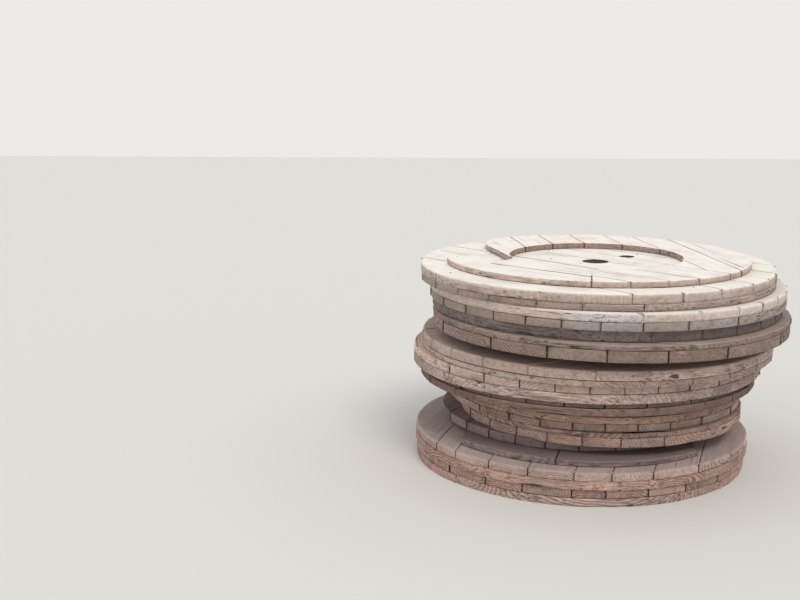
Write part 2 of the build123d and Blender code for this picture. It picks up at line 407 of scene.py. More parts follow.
def add_plank(wood, loops, low, high, centre, radii, look, rng, direction=None, broken=None):
    """One plank with worn edges, chipped ends and slightly uneven faces."""
    sizes = bpy.context.scene.stack_sizes
    outer = loops[0] if area(loops[0]) > 0 else loops[0][::-1]
    if direction is None:
        direction = longest_direction(outer)
    across = np.array([-direction[1], direction[0]])
    middle = outer.mean(axis=0)
    reach_across = float(np.abs((outer - middle) @ across).max())
    set_back = sizes.set_back * rng.random() ** 2
    top = high - sizes.sag * rng.random()
    base = low + (0.3 + 0.5 * rng.random()) * MM
    tilt = (rng.random() - 0.5) * 1.2 * MM
    skew = rng.uniform(-0.01, 0.01)
    gape = rng.random()
    gap = look.gaps * MM * (0.15 + rng.random() ** 2)
    heart = np.array(
        [rng.uniform(0, 60), rng.uniform(-0.05, 0.05), rng.choice((-1, 1)) * rng.uniform(0.015, 0.08)]
    )
    chance = np.array([look.tone * rng.uniform(0.92, 1.08), rng.random(), look.rings * rng.uniform(0.3, 1.3)])
    rim_edge = min(look.worn * MM, (top - base) * 0.32)
    faces, points_all, end_all, dust_all, painted_shade_all = [], [], [], [], []
    caps = {"top": [], "base": []}
    made = 0
    for number, loop in enumerate(loops):
        hole = number > 0
        loop = loop if (area(loop) > 0) != hole else loop[::-1]
        line, kinds = resampled(loop, centre, radii, 6 * MM if hole else sizes.rim_step, sizes.joint_step)
        if broken:
            line, kinds = corner_broken(line, kinds, *broken)
        # tight joints have crisp corners
        line, kinds = corners_eased(line, kinds, look.worn * min(1.0, 2 * look.gaps), rng)
        step = inward(line, np.where(kinds == 1, rim_edge, sizes.joint_edge))
        reach = np.maximum(np.linalg.norm(step, axis=1), 1e-9)[:, None]
        unit = step / reach
        rim = np.maximum(kinds, np.roll(kinds, 1)) == 1
        top_edge = np.where(rim, rim_edge, sizes.joint_edge)
        base_edge = np.where(rim, min(rim_edge, 1.5 * MM), sizes.joint_edge * 0.6)
        count = len(line)
        rows = [
            np.column_stack([line + step * inset[:, None], height])
            for height, inset in edge_levels(base, top, top_edge, base_edge)
        ]
        rows.append(np.column_stack([line + unit * (reach + 4 * MM), rows[-1][:, 2]]))
        for row, ring in enumerate(rows):
            at_edge = row < 3 or row > 5
            for i in range(count):
                x, y, z = ring[i]
                away = (x - middle[0]) * across[0] + (y - middle[1]) * across[1]
                rough = spread(x * 38, y * 38, z * 38 + heart[0])
                if hole:
                    depth = 1 * MM * rough
                elif rim[i]:
                    splinter = noise.noise(Vector((x * 13 + heart[0], y * 13, z * 24)))
                    fine = spread(x * 110, y * 110, z * 70 + heart[0])
                    wave = spread(x * 9, y * 9, heart[0])
                    depth = (1.1 * rough + 0.7 * fine + 2 * wave) * MM + set_back
                    depth += abs(skew) * (reach_across + away * (1 if skew > 0 else -1))
                    depth += look.chips * MM * max(0.0, splinter - 0.22) * (2.4 if at_edge else 1.6)
                else:
                    ragged = spread(x * 55, y * 55, z * 20 + heart[0])
                    near_rim = max(0.0, 1 - (radii[0] - math.dist((x, y), centre)) / 0.07)
                    depth = (rough - 0.62) * 1.5 * MM + gap * (0.35 + near_rim * (0.4 + 0.8 * ragged**2))
                ring[i, :2] += unit[i] * depth
                sink = spread(x * 12, y * 12, heart[0])
                if row > 5:
                    ring[i, 2] -= (1.6 * gape if rim[i] else 0.8) * MM * sink + abs(tilt * away / 0.08) * 0.5
                elif row < 3 and rim[i]:
                    ring[i, 2] += 0.5 * MM * gape * (1 - sink)
        for row in range(len(rows) - 1):
            a = made + row * count
            for i in range(count):
                j = (i + 1) % count
                faces.append((a + i, a + j, a + count + j, a + count + i))
        points_all += rows
        end_all += [np.abs(unit @ direction)] * len(rows)
        # the wall of a hole or a recess gets no dust and is darkened with painted shade, deeply in a hole and
        # a little on a recess wall; on a shaded ply the top round the holes gets the same
        bored = np.full(count, hole)
        for spot, radius in ((centre, BORES[0][1]), *BORES):
            bored |= np.hypot(*(line - spot).T) < radius + 5 * MM
        wall = bored | (np.hypot(*(line - centre).T) < radii[-1] + 8 * MM) & (len(radii) > 1)
        for row in range(len(rows)):
            bare = wall if row < 7 else bored & look.shaded
            dust_all.append(np.where(bare, 0.0, look.dust))
            painted_shade_all.append(np.where(bare, np.where(bored, 0.28, 0.85), 1.0))
        caps["base"].append(range(made, made + count))
        made += len(rows) * count
        caps["top"].append(range(made - count, made))
    points = np.vstack(points_all)
    for side, rims in caps.items():
        flat = [i for loop in rims for i in loop]
        for triangle in tessellate_polygon([[Vector((*points[i][:2], 0)) for i in loop] for loop in rims]):
            a, b, c = (flat[k] for k in triangle)
            up = np.cross(points[b][:2] - points[a][:2], points[c][:2] - points[a][:2])
            if abs(up) > 1e-14:
                faces.append((a, b, c) if (up > 0) == (side == "top") else (a, c, b))
    local = points[:, :2] - middle
    grain = np.column_stack([local @ direction, local @ across, points[:, 2] - (low + high) / 2]) + heart
    # the first figure, the plank's tone, also carries the painted shade of hole and recess walls
    figures = np.tile(chance, (len(points), 1))
    figures[:, 0] *= np.concatenate(painted_shade_all)
    end_grain, dust = np.concatenate(end_all), np.concatenate(dust_all)
    wood.add(points, faces, grain=grain, plank=figures, end_grain=end_grain, dust=dust)


def circles_of(node):
    """Centre of a node's flange and the radii of its rim and recess, read from the CAD."""
    flange = "_".join(node.split("_")[:2])
    plies = [n for n in frame["nodes"] if n.startswith(flange + "_") and n.endswith("planks")]
    lowest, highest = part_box(sorted(plies)[0])
    centre = np.array([(lowest.x + highest.x) / 2, (lowest.y + highest.y) / 2])
    points, _ = merged(node)
    away = np.hypot(points[:, 0] - centre[0], points[:, 1] - centre[1])
    return centre, float(away.max()), float(away.min())


def placed(piece, node):
    """Attach a piece to the root body, and hide the CAD node that it stands in for."""
    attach(piece, "root")
    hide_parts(node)


def made_planks(node):
    """Weathered planks of one ply, all laid the same way, or of one ring, each laid its own way."""
    look, rng = LOOKS[node], random.Random(f"{SEED} {node}")
    centre, rim, recess = circles_of(node)
    planks = outlines_of(node)
    if node.endswith("ring"):
        radii, direction = (rim, recess), None
    else:
        radii, direction = (rim,), ply_direction(planks)
    wood = Wood()
    for loops, low, high in planks:
        add_plank(wood, loops, low, high, centre, radii, look, rng, direction, BROKEN_CORNERS.get(node))
    placed(wood.made(node + "_weathered", FINISHES[look.finish]), node)


# Node trees, for what repeats and for the materials


# Kinds of node and settings that come often
MATHS, VECTORS, MAPPED = "ShaderNodeMath", "ShaderNodeVectorMath", "ShaderNodeMapRange"
MIX, RAMP, CLOUD = "ShaderNodeMix", "ShaderNodeValToRGB", "ShaderNodeTexNoise"
PARTED, JOINED = "ShaderNodeSeparateXYZ", "ShaderNodeCombineXYZ"
THREE = dict(data_type="FLOAT_VECTOR")
SMOOTH = dict(interpolation_type="SMOOTHSTEP")


def add_node(tree, kind, settings=None, *inputs, out=0, **links):
    """Add a node, link or set its inputs, in order or by name, and give back an output.

    Its settings may be its operation alone, or the stops alone of a colour ramp.
    """
    made = tree.nodes.new(kind)
    if isinstance(settings, str):
        settings = dict(operation=settings)
    elif isinstance(settings, list):
        (first, start), *between, (last, end) = settings
        elements = made.color_ramp.elements
        elements[0].position, elements[0].color = first, start
        elements[1].position, elements[1].color = last, end
        for place, colour in between:
            elements.new(place).color = colour
        settings = None
    for key, value in (settings or {}).items():
        setattr(made, key, value)
    links.update((f"i{number}", value) for number, value in enumerate(inputs))
    for key, value in links.items():
        socket = made.inputs[int(key[1:])] if key[1:].isdigit() else made.inputs[key.replace("_", " ")]
        if isinstance(value, bpy.types.NodeSocket):
            tree.links.new(value, socket)
        else:
            socket.default_value = value
    return made.outputs[out] if made.outputs else None


def emptied(owner):
    """The node tree of a material or a world, with nothing in it."""
    owner.use_nodes = True
    owner.node_tree.nodes.clear()
    return owner.node_tree


def tree_with(name, **inputs):
    """Geometry node tree with a mesh in and out and named inputs, each of the kind of its default."""
    tree = bpy.data.node_groups.new(name, "GeometryNodeTree")
    tree.interface.new_socket("Geometry", in_out="INPUT", socket_type="NodeSocketGeometry")
    tree.interface.new_socket("Geometry", in_out="OUTPUT", socket_type="NodeSocketGeometry")
    kinds = {int: "Int", float: "Float", tuple: "Vector"}
    for title, value in inputs.items():
        kind = "NodeSocket" + kinds[type(value)]
        socket = tree.interface.new_socket(title.replace("_", " "), in_out="INPUT", socket_type=kind)
        socket.default_value = value
    return tree


def plain_mesh(name, base, tree, values):
    """A plain mesh object from a tree that works on a base mesh."""
    carrier = linked(name, base)
    modifier = carrier.modifiers.new("tree", "NODES")
    modifier.node_group = tree
    for socket in tree.interface.items_tree:
        if socket.in_out == "INPUT" and socket.name in values:
            modifier[socket.identifier] = values[socket.name]
    graph = bpy.context.evaluated_depsgraph_get()
    mesh = bpy.data.meshes.new_from_object(carrier.evaluated_get(graph), depsgraph=graph)
    carrier.modifiers.remove(modifier)
    bpy.data.objects.remove(carrier)
    mesh.name = name
    return linked(name, mesh)


def board_tree(material):
    """Boards side by side, each as long as the disc is wide where it lies."""
    sizes = dict(Boards=8, Width=0.13, Gap=0.003, Thickness=0.02, Radius=0.6, Bearing=0.0)
    tree = tree_with("boards_in_a_disc", **sizes, Middle=(0.0, 0.0, 0.0), Seed=0)
    add = partial(add_node, tree)
    start = add("NodeGroupInput").node.outputs
    half = add(MATHS, "MULTIPLY_ADD", start["Boards"], 0.5, -0.5)
    number = add("GeometryNodeInputIndex")
    steps = add(MATHS, "SUBTRACT", number, half)
    place = add(MATHS, "MULTIPLY", steps, start["Width"])
    off = add(MATHS, "ABSOLUTE", place)
    far = add(MATHS, "MULTIPLY_ADD", start["Width"], 0.5, off)
    squares = [add(MATHS, "MULTIPLY", size, size) for size in (start["Radius"], far)]
    rest = add(MATHS, "SUBTRACT", *squares)
    rest = add(MATHS, "MAXIMUM", rest, 0.0025)  # no board is under 10 cm long
    half_length = add(MATHS, "SQRT", rest)
    length = add(MATHS, "MULTIPLY", half_length, 2.0)
    width = add(MATHS, "SUBTRACT", start["Width"], start["Gap"])
    size = add(JOINED, X=width, Y=length, Z=start["Thickness"])
    spot = add(JOINED, X=place)
    line = add("GeometryNodePoints", Count=start["Boards"], Position=spot)
    board = add("GeometryNodeMeshCube", Size=(1.0, 1.0, 1.0))
    boards = add("GeometryNodeInstanceOnPoints", Points=line, Instance=board, Scale=size)
    real = add("GeometryNodeRealizeInstances", Geometry=boards)
    # each board's own tone, and its grain along its length
    here = add("GeometryNodeInputPosition")
    sides = add(PARTED, i0=here).node.outputs
    count = add(MATHS, "DIVIDE", sides["X"], start["Width"])
    count = add(MATHS, "ADD", count, half)
    which = add(MATHS, "ROUND", count)
    own = add("FunctionNodeRandomValue", THREE, (0.7, 0, 0), (0.9, 1, 0.3), ID=which, Seed=start["Seed"])
    grain = add(JOINED, X=sides["Y"], Y=sides["X"], Z=sides["Z"])
    apart = add(VECTORS, "MULTIPLY", own, (60.0, 0.1, 0.3))
    grain = add(VECTORS, "ADD", grain, apart)
    for title, figure in (("plank", own), ("grain", grain)):
        real = add("GeometryNodeStoreNamedAttribute", THREE, Geometry=real, Name=title, Value=figure)
    turn = add(JOINED, Z=start["Bearing"])
    turned = add("GeometryNodeTransform", Geometry=real, Translation=start["Middle"], Rotation=turn)
    finished = add("GeometryNodeSetMaterial", Geometry=turned, Material=material)
    add("NodeGroupOutput", Geometry=finished)
    return tree


def made_hidden_ring(node, tree):
    """Plain boards of a ring that the stack hides but for a shadow gap."""
    sizes = bpy.context.scene.stack_sizes
    rng = random.Random(f"{SEED} {node}")
    centre, rim, _ = circles_of(node)
    lowest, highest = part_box(node)
    radius = rim - 6 * MM  # a little inside the flanges' rims
    values = {
        "Boards": int(2 * radius / sizes.board_width),
        "Width": sizes.board_width,
        "Thickness": highest.z - lowest.z - 1 * MM,
        "Radius": radius,
        "Bearing": rng.uniform(0, 3),
        "Middle": (float(centre[0]), float(centre[1]), (lowest.z + highest.z) / 2),
    }
    placed(plain_mesh(node + "_boards", bpy.data.meshes.new(node), tree, values), node)


# Nails


def inside(spot, loop, margin):
    """Whether a spot lies within a loop by a margin, or near enough to it for a margin below nought."""
    x, y = loop[:, 0], loop[:, 1]
    x2, y2 = np.roll(x, -1), np.roll(y, -1)
    rise = np.where(y2 == y, 1e-12, y2 - y)
    crosses = ((y > spot[1]) != (y2 > spot[1])) & (spot[0] < (x2 - x) * (spot[1] - y) / rise + x)
    within = bool(crosses.sum() % 2)
    step = np.stack([x2 - x, y2 - y], axis=1)
    share = np.clip(((spot - loop) * step).sum(1) / np.maximum((step**2).sum(1), 1e-12), 0, 1)
    gap = np.hypot(*(loop + step * share[:, None] - spot).T).min()
    return gap > margin if within and margin > 0 else within or gap < -margin


def nail_rows(node):
    """Rows along a ply's planks where its nails can be seen, as runs of points."""
    centre, rim, _ = circles_of(node)
    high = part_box(node)[1].z
    # the plies and rings that lie over it hide its nails
    over = [circles_of(n)[:2] for n in frame["nodes"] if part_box(n)[0].z > high - 1 * MM and n != TOP_RING]
    ring = [loops[0] for loops, _, _ in outlines_of(TOP_RING)] if node.startswith("flange_1_") else []
    planks = outlines_of(node)
    direction = ply_direction(planks)
    across = np.array([-direction[1], direction[0]])
    runs = []
    for loops, _, _ in planks:
        outer = loops[0]
        offsets, lengthways = outer @ across, outer @ direction
        width = offsets.max() - offsets.min()
        # two rows along a plank, and one along a narrow one
        for share in (0.25, 0.75) if width > 0.09 else (0.5,):
            run = []
            for at in np.arange(lengthways.min() + 0.018, lengthways.max() - 0.015, NAIL_TRIED_EVERY):
                spot = across * (offsets.min() + width * share) + direction * at
                if (
                    inside(spot, outer, NAIL_IN_FROM_JOINT)
                    and math.dist(spot, centre) < rim - NAIL_IN_FROM_RIM
                    and all(math.dist(spot, c) > r + 0.004 for c, r in over)
                    and not any(inside(spot, plank, -0.01) for plank in ring)
                    and all(np.hypot(*(loop - spot).T).min() > 0.014 for loop in loops)
                ):
                    run.append((*spot, high - 2.1 * MM))
                    continue
                runs.append(run)
                run = []
            runs.append(run)
    return [run for run in runs if len(run) > 1]


def nail_tree(material):
    """Nail heads at even steps along rows, a little out of line, some lost."""
    tree = tree_with("nails_along_rows", Spacing=0.13, Head_radius=0.004, Scatter=0.007, Lost=0.5, Seed=SEED)
    add = partial(add_node, tree)
    start = add("NodeGroupInput").node.outputs
    seed, random_value = start["Seed"], "FunctionNodeRandomValue"
    rows = add("GeometryNodeMeshToCurve", Mesh=start["Geometry"])
    points = add("GeometryNodeCurveToPoints", dict(mode="LENGTH"), Curve=rows, Length=start["Spacing"])
    one = dict(data_type="FLOAT")
    stray = add(random_value, THREE, (-1, -1, -0.5), (1, 1, -0.4), Seed=seed)
    stray = add(VECTORS, "SCALE", stray, i3=start["Scatter"])
    points = add("GeometryNodeSetPosition", Geometry=points, Offset=stray)
    chance = add(random_value, one, out=1, Seed=seed)
    gone = add("FunctionNodeCompare", dict(one, operation="LESS_THAN"), A=chance, B=start["Lost"])
    points = add("GeometryNodeDeleteGeometry", dict(domain="POINT"), Geometry=points, Selection=gone)
    small = add(MATHS, "MULTIPLY", start["Head radius"], 0.62)
    radii = dict(Radius_Top=small, Radius_Bottom=start["Head radius"])
    head = add("GeometryNodeMeshCone", Vertices=9, Depth=5 * MM, **radii)
    size = add(random_value, one, out=1, i2=0.75, i3=1.2, Seed=seed)
    turn = add(random_value, THREE, (-0.1, -0.1, 0), (0.1, 0.1, 3), Seed=seed)
    heads = add("GeometryNodeInstanceOnPoints", Points=points, Instance=head, Rotation=turn, Scale=size)
    real = add("GeometryNodeRealizeInstances", Geometry=heads)
    finished = add("GeometryNodeSetMaterial", Geometry=real, Material=material)
    add("NodeGroupOutput", Geometry=finished)
    return tree


def made_nails(node, tree):
    """Nails that show on one ply."""
    sizes = bpy.context.scene.stack_sizes
    base = bpy.data.meshes.new(node + "_rows")
    points, edges = [], []
    for run in nail_rows(node):
        edges += [(len(points) + i, len(points) + i + 1) for i in range(len(run) - 1)]
        points += run
    base.from_pydata(points, edges, [])
    values = {"Spacing": sizes.nail_spacing, "Head radius": sizes.nail_radius, "Lost": sizes.nails_lost}
    piece = plain_mesh(node.replace("_planks", "") + "_nails", base, tree, values)
    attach(piece, "root")


# Materials


class Pine(NamedTuple):
    """Colours of one weathered softwood."""

    title: str
    late: str  # late wood, the dark lines of the growth rings
    grey: str  # where the light has silvered it
    damp: str  # where water stands
    dust: tuple  # thin and thick dust on its upper faces
    patches: tuple = ()  # stains: colour, strength, and the least and greatest x of each, in metres


# Each softwood was sawn, nailed up green and left in a yard
PINES = {
    # bleached by sun from above and covered in dust: nearly cream on top, greyer down its sides
    "pale": Pine(
        *("pine_sawn_sun_bleached", "#7b5d50", "#ae988e", "#573f36", ("#ece1d5", "#f6efe5")),
        patches=(("#a5826e", 0.35, -0.45, -0.12),),
    ),
    # bleached to a whitish grey, warm brown on one side and blue with mould in the middle
    "whitish": Pine(
        *("pine_sawn_whitish", "#a18d82", "#bfb3ad", "#75655d", ("#ddd2c8", "#ede4da")),
        patches=(("#a68674", 0.62, -0.66, -0.2), ("#b0b4c0", 0.7, -0.17, 0.04), ("#a58373", 0.5, 0.05, 0.2)),
    ),
    # grey-brown from rain and light, the surface fibres raised
    "grey": Pine("pine_sawn_rain_greyed", "#6d554b", "#9b877c", "#54423c", ("#b4a095", "#c3b1a6")),
    # sheltered by the flanges over it, so it keeps more of its own brown
    "brown": Pine("pine_sawn_sheltered", "#6b4d42", "#957b70", "#4f3a32", ("#a5948d", "#ae9f99")),
    # shaded side, a cool mauve-grey
    "mauve": Pine("pine_sawn_shaded", "#6f5855", "#826e6c", "#473936", ("#716462", "#807270")),
    # damp, dirt-stained, and paler and greenish in places
    "dark": Pine(
        *("pine_sawn_damp", "#5a4a44", "#716560", "#3a2f2b", ("#8f8279", "#ada098")),
        patches=(("#74786f", 0.6, -0.37, -0.25), ("#6a6266", 0.5, 0.05, 0.5)),
    ),
}
RING_SPACING = 10 * MM  # growth rings, which are 3 to 5 mm apart, drawn wider so that they show at this size
MOSS_SPOT = (-0.456, -0.508, 0.618)
CRACK = "#33261f"


def greys(*stops):
    """Colour ramp stops that give the same figure in red, green and blue."""
    return [(place, (level, level, level, 1)) for place, level in stops]


def grown_pattern(add, grain):
    """Knots, growth rings and the places that both bend, from the distance along and across the grain."""
    # knots about 25 mm across, one in every 14 cm across the grain and 22 cm along it
    stretch = add(VECTORS, "MULTIPLY", grain, (4.6, 7.0, 7.0))
    knot = add("ShaderNodeTexVoronoi", out="Distance", Vector=stretch, Scale=1.0)
    near_knot = add(MAPPED, SMOOTH, knot, 0.08, 0.36, 1.0, 0.0)
    # growth rings that wander by a few centimetres, and bulge round the knots
    stretch = add(VECTORS, "MULTIPLY", grain, (1.6, 5.0, 5.0))
    wander = add(CLOUD, out="Color", Vector=stretch, Scale=1.0, Detail=2.0)
    shift = add(VECTORS, "MULTIPLY_ADD", wander, (0.0, 0.06, 0.06), grain)
    bulge = add(MATHS, "MULTIPLY", near_knot, 0.02)
    bulge = add(JOINED, Y=bulge, Z=bulge)
    bent = add(VECTORS, "ADD", shift, bulge)
    waves = dict(wave_type="RINGS", rings_direction="X", wave_profile="SAW")
    scale = 0.314 / RING_SPACING  # at a scale of 1 the texture's rings lie 0.314 apart
    bending = dict(Distortion=1.6, Detail=2.0, Detail_Scale=1.5)
    rings = add("ShaderNodeTexWave", waves, out="Fac", Vector=bent, Scale=scale, **bending)
    return knot, rings, shift


def wood_material(name, early, pine):
    """Weathered sawn softwood, with fibres, drying checks, knots and dust patches of their real sizes."""
    settings = bpy.context.scene.stack_colours
    material = bpy.data.materials.new(pine.title)
    add = partial(add_node, emptied(material))
    blend, darkened = dict(data_type="RGBA"), dict(data_type="RGBA", blend_type="MULTIPLY")
    kinds = {"grain": "Vector", "plank": "Vector", "end_grain": "Fac", "dust": "Fac"}
    grain, plank, end_grain, dust = (
        add("ShaderNodeAttribute", dict(attribute_name=title), out=kind) for title, kind in kinds.items()
    )
    places = add("ShaderNodeTexCoord", out="Object")
    tone, warmth, ring_strength = add(PARTED, i0=plank).node.outputs
    knot, rings, shift = grown_pattern(add, grain)

    clouds = []
    for source, stretch, detail, roughness in (
        (grain, (14.0, 330.0, 330.0), 3.0, 0.6),  # fibres, 3 mm wide and 7 cm long
        (grain, (2.4, 150.0, 150.0), 2.0, 0.5),  # grooves, 7 mm apart
        (grain, (1.6, 70.0, 70.0), 5.0, 0.68),  # bands of denser wood, 14 mm wide
        (grain, (1.8, 62.0, 62.0), 1.0, 0.4),  # drying checks, at least 16 mm apart
        (grain, (3.0, 9.0, 9.0), 3.0, 0.6),  # wear, in patches 11 cm wide
        (grain, (60.0, 60.0, 90.0), 5.0, 0.75),  # roughness that holds dirt, in specks up to 17 mm wide
        (places, (7.0, 7.0, 22.0), 4.0, 0.62),  # damp, in patches 14 cm wide and 5 cm high
        (places, (9.0, 9.0, 9.0), 4.0, 0.65),  # drifts of dust, 11 cm wide
    ):
        stretched = add(VECTORS, "MULTIPLY", source, stretch)
        clouds.append(add(CLOUD, Vector=stretched, Scale=1.0, Detail=detail, Roughness=roughness))
    fibres, grooves, bands, split, weather, rough, damp, drift = clouds

    # fine splits run with the grain, and none across the ends
    ends = add(MAPPED, i0=end_grain, i1=0.35, i2=0.8)
    sides = add(MATHS, "SUBTRACT", 1.0, ends)
    split = add(MAPPED, SMOOTH, split, 0.69, 0.73, i4=0.9)
    split = add(MATHS, "MULTIPLY", split, sides)

    # the rings show more on some planks, and fade where the face is worn
    clear = add(MATHS, "MULTIPLY", weather, ring_strength)
    clear = add(MATHS, "MULTIPLY", clear, 1.9)
    late = add(RAMP, greys((0.0, 0.0), (0.4, 0.1), (0.85, 1.0)), rings)
    late = add(MATHS, dict(operation="MULTIPLY", use_clamp=True), late, clear)
    silver = add(RAMP, greys((0.35, 0.0), (0.7, 0.8)), weather)
    layers = [(late, linear(pine.late)), (silver, linear(pine.grey))]
    # stains that run along part of a rim, with uneven edges
    if pine.patches:
        stretched = add(VECTORS, "MULTIPLY", places, (6.0, 6.0, 26.0))
        uneven = add(CLOUD, Vector=stretched, Scale=1.0, Detail=3.0, Roughness=0.55)
        east = add(PARTED, i0=places)
        east = add(MATHS, "MULTIPLY_ADD", uneven, 0.16, east)
        cover = add(MAPPED, i0=uneven, i1=0.3, i2=0.6, i3=0.45)
    for tint, strength, least, most in pine.patches:
        amount = add(MAPPED, SMOOTH, east, least + 0.06, least + 0.1, i4=strength)
        fall = add(MAPPED, SMOOTH, east, most + 0.06, most + 0.1, 1.0, 0.0)
        for factor in (fall, cover):
            amount = add(MATHS, "MULTIPLY", amount, factor)
        layers.append((amount, linear(tint)))
    colour = early
    for amount, tint in layers:
        colour = add(MIX, blend, amount, out=2, i6=colour, i7=tint)
    # each plank has its own tone and its own warmth; the tone also carries painted shade on the walls of
    # holes and recesses
    colour = add(VECTORS, "SCALE", colour, i3=tone)
    warmth = add(MATHS, "MULTIPLY_ADD", warmth, 0.22, 0.7)
    colour = add("ShaderNodeHueSaturation", Saturation=warmth, Color=colour)
    # bands, fibres and grooves show on faces along the grain, and little on the ends
    along = add(MATHS, "MULTIPLY_ADD", ends, -0.6, 0.85)
    streaks = (
        (bands, [(0.32, (0.56, 0.52, 0.5, 1)), (0.46, (0.9, 0.89, 0.89, 1)), *greys((0.7, 1.2))]),
        (fibres, [(0.3, (0.68, 0.66, 0.65, 1)), *greys((0.65, 1.12))]),
        (grooves, [(0.36, (0.34, 0.3, 0.28, 1)), *greys((0.43, 0.97), (0.7, 1.14))]),
    )
    for pattern, stops in streaks:
        streak = add(RAMP, stops, pattern)
        colour = add(MIX, darkened, along, out=2, i6=colour, i7=streak)
    damp = add(MAPPED, SMOOTH, damp, 0.52, 0.72, i4=settings.stains)
    colour = add(MIX, blend, damp, out=2, i6=colour, i7=linear(pine.damp))
    # rough sawn faces hold dirt, most of it on the ends
    stops = [(0.36, (0.62, 0.58, 0.56, 1)), (0.5, (0.98, 0.97, 0.97, 1)), (0.66, (1.14, 1.13, 1.12, 1))]
    specks = add(RAMP, stops, rough)
    held = add(MATHS, "MULTIPLY_ADD", ends, 0.45, 0.5)
    colour = add(MIX, darkened, held, out=2, i6=colour, i7=specks)
    if name == "dark":
        # a cushion of moss in the damp joint, 4 cm wide
        away = add(VECTORS, "DISTANCE", places, MOSS_SPOT, out=1)
        stretched = add(VECTORS, "MULTIPLY", places, (55.0, 55.0, 90.0))
        tuft = add(CLOUD, Vector=stretched, Scale=1.0, Detail=3.0, Roughness=0.6)
        away = add(MATHS, "MULTIPLY_ADD", tuft, 0.05, away)
        moss = add(MAPPED, SMOOTH, away, 0.034, 0.05, 0.8, 0.0)
        green = add(RAMP, [(0.35, linear("#39402f")), (0.65, linear("#626b50"))], tuft)
        colour = add(MIX, blend, moss, out=2, i6=colour, i7=green)
    # a knot's own rings, dark at its heart and at its rim
    shades = (pine.damp, pine.late, pine.damp, pine.grey, pine.late, pine.damp, pine.late)
    stops = list(zip((0.0, 0.02, 0.038, 0.052, 0.07, 0.085, 0.1), map(linear, shades)))
    knotty = add(RAMP, stops, knot)
    knotted = add(MAPPED, SMOOTH, knot, 0.08, 0.11, 0.6, 0.0)
    # end grain dries into short cracks that run out from the heart
    _, side, up = add(PARTED, i0=shift).node.outputs
    bearing = add(MATHS, "ARCTAN2", up, side)
    bearing = add(MATHS, "MULTIPLY", bearing, 12.0)
    away = add(VECTORS, "MULTIPLY", shift, (0.0, 1.0, 1.0))
    away = add(VECTORS, "LENGTH", away, out=1)
    away = add(MATHS, "MULTIPLY", away, 26.0)
    radial = add(JOINED, X=bearing, Y=away, Z=warmth)
    cracks = add(CLOUD, Vector=radial, Scale=1.0, Detail=1.5, Roughness=0.5)
    cracks = add(MAPPED, SMOOTH, cracks, 0.68, 0.76, i4=0.4)
    cracks = add(MATHS, "MULTIPLY", cracks, ends)
    # end grain drinks more dirt than the sides
    dirt = add(MATHS, "MULTIPLY", ends, 0.28)
    # pale yard dust on faces that look up, and a film of it on the dusty flanges' rims
    normal = add("ShaderNodeNewGeometry", out="Normal")
    height = add(PARTED, out="Z", i0=normal)
    lying = add(MAPPED, SMOOTH, height, -0.35, 0.9, i4=settings.dust)
    drift = add(RAMP, greys((0.3, 0.75), (0.55, 1.0)), drift)
    bare = add(MATHS, "MULTIPLY_ADD", split, -0.5, 1.0)
    for factor in (dust, drift, bare):
        lying = add(MATHS, "MULTIPLY", lying, factor)
    dusty = add(RAMP, [(0.25, linear(pine.dust[0])), (0.6, linear(pine.dust[1]))], bands)
    crack, late = linear(CRACK), linear(pine.late)
    for amount, tint in ((knotted, knotty), (split, crack), (cracks, crack), (dirt, late), (lying, dusty)):
        colour = add(MIX, blend, amount, out=2, i6=colour, i7=tint)

    relief = add(MATHS, "MULTIPLY", bands, 0.9)
    heights = ((fibres, 0.5), (grooves, 0.8), (rough, 0.8), (rings, 0.2), (split, -1.2), (cracks, -1.0))
    for pattern, factor in heights:
        relief = add(MATHS, "MULTIPLY_ADD", pattern, factor, relief)
    bump = add("ShaderNodeBump", Strength=0.5, Distance=1.5 * MM, Height=relief)
    matt = dict(Roughness=0.86, Specular_IOR_Level=0.25)
    shader = add("ShaderNodeBsdfPrincipled", Base_Color=colour, Normal=bump, **matt)
    add("ShaderNodeOutputMaterial", Surface=shader)
    return material


def rust_material():
    """Steel nail heads, rusted brown-black in the rain: matt and pitted, their brown varying with the pits.
    """
    material = bpy.data.materials.new("steel_nail_rusted")
    add = partial(add_node, emptied(material))
    places = add("ShaderNodeTexCoord", out="Object")
    pits = add(CLOUD, Vector=places, Scale=420.0, Detail=3.0)
    stops = [(0.35, linear("#3b2a24")), (0.55, linear("#5a3d31")), (0.75, linear("#7c5542"))]
    colour = add(RAMP, stops, pits)
    bump = add("ShaderNodeBump", Strength=0.4, Distance=0.4 * MM, Height=pits)
    shader = add("ShaderNodeBsdfPrincipled", Base_Color=colour, Roughness=0.8, Normal=bump)
    add("ShaderNodeOutputMaterial", Surface=shader)
    return material


# Floor, light and camera


def made_floor():
    """A plain pale floor."""
    mesh = bpy.data.meshes.new("floor")
    mesh.from_pydata([(-14, -9, 0), (14, -9, 0), (14, 16, 0), (-14, 16, 0)], [], [(0, 1, 2, 3)])
    floor = linked("floor", mesh)
    # painted board, matt and even, so that only the stack's shadow shows on it
    material = bpy.data.materials.new("board_painted_pale")
    add = partial(add_node, emptied(material))
    paint = linear("#dcd8d3")
    shader = add("ShaderNodeBsdfPrincipled", Base_Color=paint, Roughness=0.9, Specular_IOR_Level=0.1)
    add("ShaderNodeOutputMaterial", Surface=shader)
    mesh.materials.append(material)


